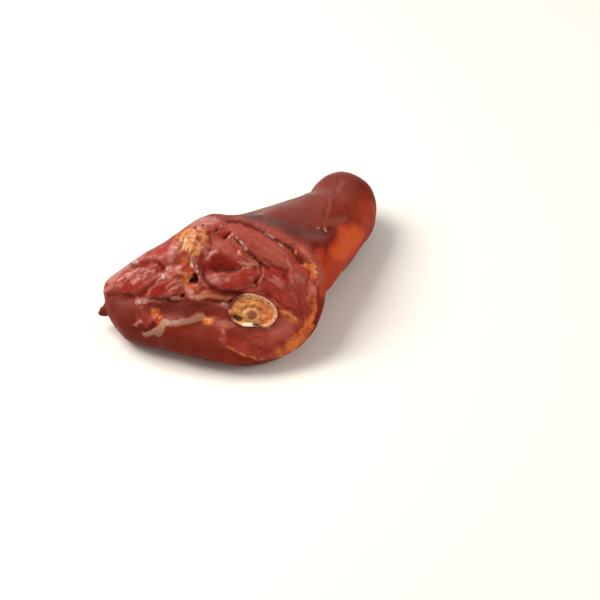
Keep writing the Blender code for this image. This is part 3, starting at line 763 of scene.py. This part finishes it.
def meat_material():
    s = Shader("smoked_meat_and_rind")
    broad = s.texture(26, detail=2.0)
    patchy = s.texture(9, detail=4.0, distortion=0.6)
    grain = s.texture(2.6, detail=4.0)
    fine = s.texture(0.8, detail=3.0)
    streaks = fibre_texture(s)
    mottled = s.mean(patchy, grain)
    streaked = s.mean(s.zone("strand"), grain)

    # Laid in this order: rind and meat, their tints with painted sheen, glints and shade among them, the
    # fats, gristle, fascia with painted glints, and painted shade in the hollows, creases and holes.
    colour = s.mix(s.zone("cut"), rind_colour(s, broad, patchy), meat_colour(s, patchy, grain, streaks))
    for name, tint in TINTS.items():
        texture = streaks if name in STREAKED else grain
        blots = s.blotted(s.zone(name), texture, TINT_LEAST.get(name, USUAL_LEAST))
        colour = s.mix(blots, colour, tint)
    colour = s.mix(s.zone("deep"), colour, MEAT["deep"])
    colour = s.mix(s.ragged(s.zone("amber"), mottled, 1.3), colour, amber_colour(s, patchy, grain, fine))
    colour = s.mix(s.ragged(s.zone("fat"), streaked, 2.4), colour, fat_colour(s, patchy, grain, fine))
    pale = s.lay(PALE["dark"], PALE["light"], fine, 0.35, 0.65)
    colour = s.mix(s.ragged(s.zone("pale"), mottled, 1.6), colour, pale)
    colour = s.mix(s.times(s.ragged(s.zone("fascia_and_glints"), fine, 1.6), 0.8), colour, FASCIA_AND_GLINTS)
    # Painted shade where the relief lies low, in creases and folds, and in the holes.
    colour = s.mix(s.times(s.zone("under"), 0.65), colour, MEAT["under"])
    creased = s.times(s.zone("crease"), s.step(patchy, 0.35, 0.6, 0.3, 0.85))
    colour = s.mix(creased, colour, MEAT["crease"])
    colour = s.mix(s.zone("hole"), colour, MEAT["hole"])

    rough_part = s.math("MAXIMUM", s.zone("grainy"), RIND_GRAIN)
    normal = s.bump(s.times(fine, rough_part), 0.10)
    normal = s.bump(s.times(grain, rough_part), 0.35, normal)
    normal = s.bump(s.times(streaks, s.zone("grainy")), 0.45, normal)
    return s.done({
        "Base Color": colour,
        "Roughness": s.step(patchy, 0.3, 0.7, 0.36, 0.52),
        "Subsurface Weight": 0.15,
        "Subsurface Radius": (1.0, 0.25, 0.12),
        "Subsurface Scale": 2.0 * MM,
        "Specular IOR Level": 0.03,
        "Coat Weight": s.times(s.zone("gloss"), s.step(grain, 0.3, 0.65, 0.15, 0.9)),
        "Coat Roughness": 0.16,
        "Coat Normal": s.bump(s.times(fine, rough_part), 0.15, normal),
        "Normal": normal,
    })


def bone_material():
    s = Shader("sawn_bone")
    broad = s.texture(4.5, detail=2.0)
    grain = s.texture(1.6, detail=4.0)
    pores = s.texture(0.9, detail=2.0)
    sponge = s.lay(BONE["sponge_dark"], BONE["sponge_light"], broad, 0.35, 0.65)
    sponge = s.lay(sponge, BONE["sponge_grain"], grain, 0.5, 0.7, most=0.5)
    red = s.times(s.zone("red"), s.step(broad, 0.66, 0.42, 0.4, 1))
    sponge = s.mix(red, sponge, BONE["red"])
    sponge = s.lay(sponge, BONE["pore"], pores, 0.40, 0.26, most=0.4)
    rim = s.lay(BONE["rim_dark"], BONE["rim_light"], grain, 0.35, 0.6)
    colour = s.mix(s.ragged(s.zone("rim"), grain, 1.2), sponge, rim)
    ring = s.lay(BONE["ring_dark"], BONE["ring_light"], grain, 0.35, 0.6)
    colour = s.mix(s.ragged(s.zone("ring"), grain, 1.0), colour, ring)
    colour = s.mix(s.ragged(s.zone("white"), grain, 0.6), colour, BONE["white"])
    colour = s.mix(s.times(s.zone("shade"), 0.8), colour, BONE["shade"])
    colour = s.mix(s.zone("corner"), colour, BONE["corner"])
    pit = s.lay(BONE["pit_dark"], BONE["pit_light"], grain, 0.4, 0.65)
    colour = s.mix(s.zone("pit"), colour, pit)
    return s.done({
        "Base Color": colour,
        "Roughness": 0.42,
        "Specular IOR Level": 0.3,
        "Subsurface Weight": 0.15,
        "Subsurface Radius": (1.0, 0.5, 0.25),
        "Subsurface Scale": 1.0 * MM,
        "Normal": s.bump(pores, 0.15, s.bump(grain, 0.30)),
    })


def marrow_material():
    s = Shader("marrow")
    grain = s.texture(1.2, detail=4.0)
    return s.done({
        "Base Color": s.lay(MARROW["dark"], MARROW["light"], grain, 0.3, 0.7),
        "Roughness": 0.45,
        "Specular IOR Level": 0.3,
        "Subsurface Weight": 0.2,
        "Subsurface Scale": 1.0 * MM,
        "Normal": s.bump(grain, 0.4),
    })


# --- the meat, fat and rind ------------------------------------------------------------------------

# Which way a surface faces that takes the most smoke and painted grey sheen, and that shines the most.
SMOKE_AND_SHEEN_SIDE = np.array([-0.25, 0.35, 0.90])
GLOSS_SIDE = np.array([-0.15, 0.25, 0.95])
# How painted edges wander: the size of the waves, the shift in picture points, and the seeds.
MEAT_WANDER = ((7, 1.5, (11, 12)), (3, 1.0, (13, 14)))
# How far apart the relief's lumps, shreds, strands and folds are.
LUMP_SIZE = 6
SHRED_SIZE = 2.2
STRAND_SIZE = 1.9
FINE_STRAND_SIZE = 1.2
FOLD_SIZE = 5.0
# A fold is where its own noise, from -1 to 1, is about this near to 0.
FOLD_NEARNESS = 0.10
# The size of the patches that have folds, and of those where creases are deeper.
FOLD_PATCH = 14
CREASE_PATCH = 6
# How far lumps, shreds and strands stand out of the cut, how deep a fold is, and how far lumps stand out of
# the rind.
LUMP_HEIGHT = 0.50
SHRED_HEIGHT = 0.18
STRAND_HEIGHT = 0.42
FOLD_DEPTH = 0.45
RIND_LUMP_HEIGHT = 0.12
# How far zones stand out of the skin.
RISES = {
    "fat": 0.5, "pale": 0.25, "tan": 0.6, "fascia_and_glints": 0.2, "blush_and_glints": 0.1, "lilac_sheen": 0.1, "amber": 0.2,
    "streak_and_highlight": 0.08, "knot": 0.5,
}
# How much of the cut's roughness each zone smooths away.
SMOOTH_ZONES = {"rose": 0.55, "fat": 0.35, "pale": 0.9, "umber_and_shade": 0.85, "deep": 0.7}
# How many times the surface is averaged to find what lies in a hollow.
HOLLOW_ROUNDS = 9


def fibre_shares(skin):
    """How much each direction in FIBRES counts at each point; they add up to 1."""
    shares = {}
    for degrees, anchors in FIBRES.items():
        off = [np.linalg.norm(skin.places - place, axis=1) / POINTS_PER_MM for place in anchors]
        shares[degrees] = sum(np.exp(-2 * (distance / FIBRE_REACH) ** 2) for distance in off) + 1e-6
    total = sum(shares.values())
    return {degrees: share / total for degrees, share in shares.items()}


def fibres(skin, shares, width, seed):
    """Strands of muscle, from -1 to 1: noise drawn out along the directions in FIBRES."""
    total = np.zeros(len(skin.places))
    for degrees, share in shares.items():
        off = skin.places / POINTS_PER_MM
        turn = math.radians(degrees)
        along = off[:, 0] * math.cos(turn) - off[:, 1] * math.sin(turn)
        aside = off[:, 0] * math.sin(turn) + off[:, 1] * math.cos(turn)
        drawn_out = np.stack([along / FIBRE_STRETCH, aside, np.full(len(off), float(degrees))], 1)
        total += share * noise(drawn_out, width, seed)
    return total


def fold_strength(skin, shares, cut, calm):
    """How strongly each point lies in a fold between bundles of strands."""
    folds = np.exp(-((fibres(skin, shares, FOLD_SIZE, seed=63) / FOLD_NEARNESS) ** 2)) * cut
    folds *= ramp(layered_noise(skin.points, FOLD_PATCH, seed=64), -0.1, 0.5)
    return folds * calm


def cut_share(skin, places):
    """1 on the cut and 0 on the rind: a crisp step at the rim, and a slow one at the lower left."""
    soft = ramp(skin.places[:, 1], *SOFT_EDGE_HEIGHTS) * ramp(skin.places[:, 0], *SOFT_EDGE_SIDES)
    blend = CRISP_BLEND + MORE_BLEND * soft
    return ramp(edge_distance(places, CUT_EDGE) / blend, -1, 1)


def carve(skin, places, seen):
    """The height that creases and holes add, which is below 0, and how strongly each darkens a point with
    painted shade.
    """
    height = np.zeros(len(places))
    crease = np.zeros(len(places))
    hole = np.zeros(len(places))
    depth_change = 0.75 + 0.45 * noise(skin.points, CREASE_PATCH, seed=15)
    for path, half_width, depth in CREASES.values():
        near = np.exp(-((path_distance(places, path) / half_width) ** 2)) * seen * depth_change
        height -= depth * near
        crease = np.maximum(crease, near * min(1.0, depth / 2.0))
    for place, radius, depth in HOLES.values():
        near = np.exp(-((np.linalg.norm(places - place, axis=1) / POINTS_PER_MM / radius) ** 4)) * seen
        height -= depth * near
        hole = np.maximum(hole, near)
    return height, crease, hole


def glow_strength(skin, seen):
    """How orange the rind is at each point: the patches in front, and those on all sides. Those in front are
    partly painted glow of light shining through the rind, and fade out where it turns from the picture,
    leaving painted shade at its edges.
    """
    shift = drift(skin.points, GLOW_PATCH, (71, 74, 77), layered_noise)
    glow = zone_strength(skin.places + EMBER_DRIFT * shift[:, :2], EMBERS) * seen
    for path, reach, strength in GLOWS:
        distance = line_distance(skin.points + GLOW_DRIFT * shift, path)
        glow = np.maximum(glow, strength * ramp(distance, reach, reach * 0.25))
    return glow


def gloss_strength(skin, hollow, cut):
    """How wet each point looks: what faces up, and the cut's ridges."""
    raised = ramp(-hollow, 0.0, 0.5)
    top = ramp(skin.normals @ GLOSS_SIDE, 0.62, 0.97)
    return np.maximum(top * (0.25 + 0.75 * raised * cut), 0.6 * raised * cut)


def make_meat(frame):
    obj = finer_copy(frame["nodes"]["knuckle_meat"], "cured_meat_and_rind", *MEAT_SKIN)
    skin = Skin(obj)
    places = wandered(skin, MEAT_WANDER)
    seen = ramp(skin.facing, 0.02, 0.3)
    cut = cut_share(skin, places) * seen
    zones = {name: zone_strength(places, strokes) * seen for name, strokes in ZONES.items()}
    calm = 1 - zone_strength(places, SMOOTH_STROKES)
    for name, share in SMOOTH_ZONES.items():
        calm *= 1 - share * zones[name]

    height, crease, hole = carve(skin, places, seen)
    lumps = layered_noise(skin.points, LUMP_SIZE, seed=21)
    shreds = layered_noise(skin.points, SHRED_SIZE, seed=31, layers=2)
    shares = fibre_shares(skin)
    strands = 0.6 * fibres(skin, shares, STRAND_SIZE, seed=61)
    strands += 0.4 * fibres(skin, shares, FINE_STRAND_SIZE, seed=62)
    folds = fold_strength(skin, shares, cut, calm)
    rough = LUMP_HEIGHT * lumps + SHRED_HEIGHT * shreds + STRAND_HEIGHT * strands
    height += cut * calm * rough - FOLD_DEPTH * folds
    height += (1 - cut) * RIND_LUMP_HEIGHT * lumps
    ragged = zone_strength(skin.places, TAG_STROKES)
    height += TAG_LUMPS * ragged * noise(skin.points, SHRED_SIZE, seed=81)
    for name, rise in RISES.items():
        height += zones[name] * (rise + 0.4 * rise * shreds)
    # Near the floor the skin stays where the solid is, so it rests as the solid does.
    skin.push(height * ramp(skin.points[:, 2], 0.5, 5))

    hollow = skin.hollows(HOLLOW_ROUNDS)
    skin.paint(zones)
    skin.paint({f"run_{degrees}": share for degrees, share in shares.items()})
    skin.paint({
        "cut": cut,
        "strand": 0.5 + 0.55 * strands,
        "grainy": cut * calm,
        # Painted shade in the relief's hollows, its creases and folds, and its holes.
        "under": ramp(hollow, 0.0, 0.9),
        "crease": np.maximum(crease * 0.75, folds * 0.4),
        "hole": hole,
        # The rind's top: smoke with painted grey sheen where it faces up.
        "smoke_and_sheen": (1 - cut) * ramp(skin.normals @ SMOKE_AND_SHEEN_SIDE, 0.45, 0.98),
        # Orange, partly painted glow of light through the rind.
        "glow": glow_strength(skin, seen) * (1 - cut),
        "gloss": gloss_strength(skin, hollow, cut) * (1 - 0.9 * zones["umber_and_shade"]),
    })
    dress(obj, "knuckle_meat", meat_material())


# --- the bone and its marrow -----------------------------------------------------------------------

# The bone's end: its middle in the picture, and half its width and height.
BONE_MIDDLE = (253.1, 311.1)
BONE_HALF = (18, 13)
# How painted edges wander in it, as on the meat.
BONE_WANDER = ((4, 0.8, (43, 44)),)
# How far behind its nearest point the bone's cut end reaches; what lies deeper is its shaft.
BONE_END_DEPTH = 5.0
# The ring in it: its middle in the picture, half its width and height, and half its band's width.
RING_PLACE = (251.8, 315.3)
RING_HALF = (5.1, 3.9)
RING_BAND = 1.6
# The trough round the ring: how far outside it, and half its width.
TROUGH_OUT = 2.6
TROUGH_BAND = 1.2
# How far apart the waves in the rim and ring, and the sponge's lumps, are.
UNEVEN_SIZE = 5
SPONGE_SIZE = 2.0
# How far the sponge and ring stand out, and how deep the trough, the rim's inner edge, the pits and the cut
# corner are.
SPONGE_HEIGHT = 0.45
RING_HEIGHT = 0.8
TROUGH_DEPTH = 0.6
LEDGE_DEPTH = 0.5
PIT_DEPTH = 1.3
CORNER_DEPTH = 1.2
# How far the bone's and the marrow's sides stand out, to close the gap that the solids keep.
BONE_CLOSING = 0.45
MARROW_CLOSING = 1.10
# Painted places in the bone's end, as in ZONES.
BONE_ZONES = {
    "white": ((((243.5, 324), (252, 325)), 1.5, 1.0),),
    # The pits, a dark hollow in the sponge and the gap under the rim, are painted dark as their shade.
    "pit": (
        (((232, 316), (236, 318), (240.5, 319)), 1.7, 1.0),
        (((254.5, 324.5), (258, 325), (261, 326.5)), 1.3, 1.0),
    ),
    # The corner: dark red painted shade, where the bone's upper left lies in shadow.
    "corner": ((((229, 306.5), (232.5, 301.5), (236.5, 297.5), (240.5, 295)), 2.9, 1.0),),
    "red": (
        (((263, 303), (268, 307)), 3.0, 0.8),
        (((266, 312), (268, 317), (263, 320)), 3.2, 1.0),
        (((258, 304), (262, 308)), 2.0, 0.6),
        (((233, 309), (236, 313)), 2.0, 0.5),
    ),
}


def outline_share(off, seen, bins=60):
    """How far out each point of a seen face lies: 0 in the middle and 1 on its outline."""
    angle = np.arctan2(off[:, 1], off[:, 0])
    far = np.linalg.norm(off, axis=1)
    slot = ((angle + math.pi) / (2 * math.pi) * bins).astype(int) % bins
    radius = np.zeros(bins)
    np.maximum.at(radius, slot[seen], far[seen])
    middles = (np.arange(bins) + 0.5) / bins * 2 * math.pi - math.pi
    return far / np.interp(angle, middles, radius, period=2 * math.pi)


def rim_width_share(up, right, uneven):
    """The rim's width as a share of the end's: most at the top, a line below and none at the left."""
    width = 0.03 + 0.15 * ramp(up, -0.1, 0.75) * ramp(right, -0.8, -0.5) + 0.08 * ramp(right, 0.2, 0.8)
    return width * ((1 + 0.5 * uneven) * ramp(np.hypot(right + 1.25, up - 0.1), 0.35, 0.65))


def make_bone(frame):
    obj = finer_copy(frame["nodes"]["leg_bone"], "sawn_leg_bone", *BONE_SKIN)
    skin = Skin(obj)
    seen = ramp(skin.facing, 0.2, 0.5)
    places = wandered(skin, BONE_WANDER)
    zones = {name: zone_strength(places, strokes) for name, strokes in BONE_ZONES.items()}
    uneven = layered_noise(skin.points, UNEVEN_SIZE, seed=45)
    shreds = layered_noise(skin.points, SPONGE_SIZE, seed=41)

    off = (skin.places - BONE_MIDDLE) / POINTS_PER_MM
    nearness = skin.points @ BACK
    reach = outline_share(off, (skin.facing > 0.3) & (nearness > nearness.max() - BONE_END_DEPTH))
    up, right = -off[:, 1] / BONE_HALF[1], off[:, 0] / BONE_HALF[0]
    rim_width = rim_width_share(up, right, uneven)
    rim = ramp(reach, 0.98 - 1.3 * rim_width, 0.98 - 0.7 * rim_width) * ramp(rim_width, 0.01, 0.03)
    inside_rim = np.exp(-(((reach - 0.97 + 1.6 * rim_width) / 0.05) ** 2)) * ramp(up, -0.2, 0.4)

    ring_off = (places - RING_PLACE) / POINTS_PER_MM / RING_HALF
    from_ring = (np.linalg.norm(ring_off, axis=1) - 1) * RING_HALF[1]
    ring = np.exp(-((from_ring / RING_BAND) ** 2)) * seen * (1 - rim) * (0.8 + 0.35 * uneven)
    above_ring = ramp(-(skin.places - RING_PLACE)[:, 1], -1, 5)
    trough = np.exp(-(((from_ring - TROUGH_OUT) / TROUGH_BAND) ** 2)) * above_ring

    height = SPONGE_HEIGHT * shreds * (1 - 0.6 * rim) + RING_HEIGHT * ring
    height -= TROUGH_DEPTH * trough
    height -= LEDGE_DEPTH * inside_rim
    height -= PIT_DEPTH * zones["pit"] + CORNER_DEPTH * zones["corner"]
    face = ramp(skin.facing, 0.5, 0.8)
    closing = BONE_CLOSING + 0.4 * noise(skin.points, UNEVEN_SIZE, seed=46)
    skin.push(seen * height * face + 0.1 * shreds + closing * (1 - face))
    skin.paint(zones)
    skin.paint({
        "rim": rim * (1 - zones["corner"]),
        "ring": ring,
        "shade": np.maximum(trough, 0.7 * inside_rim) * seen * (1 - rim),
    })
    dress(obj, "leg_bone", bone_material())


def make_marrow(frame):
    obj = finer_copy(frame["nodes"]["bone_marrow"], "marrow_core", *MARROW_SKIN)
    skin = Skin(obj)
    skin.push(MARROW_CLOSING + 0.12 * layered_noise(skin.points, 1.5, seed=51, layers=2))
    dress(obj, "bone_marrow", marrow_material())


# --- floor, light and camera, in metres ------------------------------------------------------------

FLOOR_SIZE = 6
FLOOR_COLOUR = (0.80, 0.74, 0.66)
ROOM_LIGHT = 0.48
# Each soft light's power in watts, and its place; all have one size and shine at one point.
LIGHTS = {"key": (24, (-0.5, 0.6, 1.1)), "fill": (8, (0.9, -0.9, 0.8))}
LIGHT_SIZE = 0.9
LIGHT_AIM = (0.02, 0, 0.04)


def make_floor():
    bpy.ops.mesh.primitive_plane_add(size=FLOOR_SIZE, location=(0, 0, 0))
    floor = bpy.context.object
    floor.name = "floor"
    floor.data.materials.append(Shader("pale_floor").done({"Base Color": FLOOR_COLOUR, "Roughness": 0.7}))


def make_lights():
    world = bpy.data.worlds.new("studio")
    bpy.context.scene.world = world
    world.use_nodes = True
    world.node_tree.nodes["Background"].inputs["Color"].default_value = (1, 1, 1, 1)
    world.node_tree.nodes["Background"].inputs["Strength"].default_value = ROOM_LIGHT
    for name, (power, place) in LIGHTS.items():
        data = bpy.data.lights.new(name, "AREA")
        data.size = LIGHT_SIZE
        data.energy = power
        light = bpy.data.objects.new(name, data)
        bpy.context.scene.collection.objects.link(light)
        light.location = place
        light.rotation_euler = (Vector(LIGHT_AIM) - Vector(place)).to_track_quat("-Z", "Y").to_euler()


def make_camera():
    data = bpy.data.cameras.new("camera")
    data.lens = PICTURE_LENS
    data.sensor_width = PICTURE_SENSOR
    camera = bpy.data.objects.new("camera", data)
    bpy.context.scene.collection.objects.link(camera)
    camera.location = Vector(EYE) * MM
    camera.rotation_euler = Vector(-BACK).to_track_quat("-Z", "Y").to_euler()
    bpy.context.scene.camera = camera
    bpy.context.scene.view_settings.view_transform = "Standard"


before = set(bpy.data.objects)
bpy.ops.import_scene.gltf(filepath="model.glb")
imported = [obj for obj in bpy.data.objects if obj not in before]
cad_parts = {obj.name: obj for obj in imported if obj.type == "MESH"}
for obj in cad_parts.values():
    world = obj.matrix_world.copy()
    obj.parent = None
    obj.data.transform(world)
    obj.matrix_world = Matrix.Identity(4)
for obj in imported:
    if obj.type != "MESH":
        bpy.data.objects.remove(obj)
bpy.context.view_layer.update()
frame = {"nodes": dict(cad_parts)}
make_camera()
make_meat(frame)
make_bone(frame)
make_marrow(frame)
make_floor()
make_lights()
